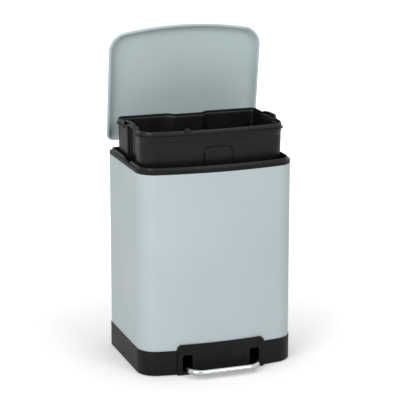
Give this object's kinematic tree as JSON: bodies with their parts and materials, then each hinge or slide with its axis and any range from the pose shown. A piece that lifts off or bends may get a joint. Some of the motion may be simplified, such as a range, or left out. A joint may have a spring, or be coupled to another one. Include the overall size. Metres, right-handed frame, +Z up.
{
  "type": "pedal recycling bin",
  "caption": "Pedal bin with a bowed steel body, a black plastic base and collar, a hinged lid and a lift-out bucket that a divider splits for sorting.",
  "frame": {"origin": "centre of the body's plan at floor level, 1.5 mm under the base's underside", "axes": "+X to the right of someone facing the bin, +Y to the hinge side at the back, +Z up"},
  "size_m": [0.343, 0.3143, 0.7087],
  "materials": {
    "body_paint": "satin powder coat",
    "lid_paint": "satin powder coat",
    "black_plastic": "matte moulded",
    "bucket_plastic": "matte moulded",
    "chrome": "polished",
    "zinc_steel": "zinc plated",
    "rubber": "matte"
  },
  "bodies": {
    "bin": {"base_tray": "black_plastic", "body_shell": "body_paint", "top_collar": "black_plastic", "mechanism_cover": "black_plastic", "rubber_foot_1": "rubber", "rubber_foot_2": "rubber", "rubber_foot_3": "rubber", "rubber_foot_4": "rubber", "cover_screw_1": "zinc_steel", "cover_screw_2": "zinc_steel", "cover_screw_3": "zinc_steel", "cover_screw_4": "zinc_steel", "hinge_housing": "black_plastic", "hinge_pin": "zinc_steel", "hinge_pin_clip": "zinc_steel", "housing_screw_1": "zinc_steel", "housing_screw_2": "zinc_steel", "housing_screw_3": "zinc_steel", "housing_screw_4": "zinc_steel", "rod_guide_1": "black_plastic", "rod_guide_2": "black_plastic", "guide_rivet_1": "zinc_steel", "guide_rivet_2": "zinc_steel", "guide_rivet_3": "zinc_steel", "guide_rivet_4": "zinc_steel", "pedal_axle": "zinc_steel", "axle_clip_1": "zinc_steel", "axle_clip_2": "zinc_steel"},
    "lid": {"lid_panel": "lid_paint", "lid_hinge_bracket": "zinc_steel", "lid_nut_1": "zinc_steel", "lid_nut_2": "zinc_steel", "lid_nut_3": "zinc_steel", "lid_nut_4": "zinc_steel"},
    "pedal": {"pedal_bar": "chrome", "pedal_lever": "zinc_steel", "pedal_rivet_1": "zinc_steel", "pedal_rivet_2": "zinc_steel"},
    "rod": {"lift_rod": "zinc_steel", "rod_clip_upper": "zinc_steel", "rod_clip_lower": "zinc_steel"},
    "bucket": {"bucket": "bucket_plastic"},
    "divider": {"bucket_divider": "bucket_plastic"}
  },
  "joints": [
    {"name": "lid_hinge", "type": "hinge", "parent": "bin", "child": "lid", "pos_m": [0, 0.138, 0.448], "axis": [1, 0, 0], "range_deg": [0, 82]},
    {"name": "pedal_pivot", "type": "hinge", "parent": "bin", "child": "pedal", "pos_m": [0, -0.03961, 0.026], "axis": [1, 0, 0], "range_deg": [-11.5, 0]},
    {"name": "rod_slide", "type": "slide", "parent": "bin", "child": "rod", "axis": [0, 0, 1], "range_m": [-0.0321, 0]},
    {"name": "bucket_lift", "type": "slide", "parent": "bin", "child": "bucket", "axis": [0, 0, 1], "range_m": [-0.069, 0]},
    {"name": "divider_slide", "type": "slide", "parent": "bucket", "child": "divider", "axis": [0, 0, 1], "range_m": [0, 0.04]}
  ],
  "couplings": [
    {"joint": "pedal_pivot", "follows": "lid_hinge", "ratio": -0.14024},
    {"joint": "rod_slide", "follows": "lid_hinge", "m_per_rad": -0.022429},
    {"joint": "bucket_lift", "follows": "lid_hinge", "m_per_rad": -0.048212}
  ]
}
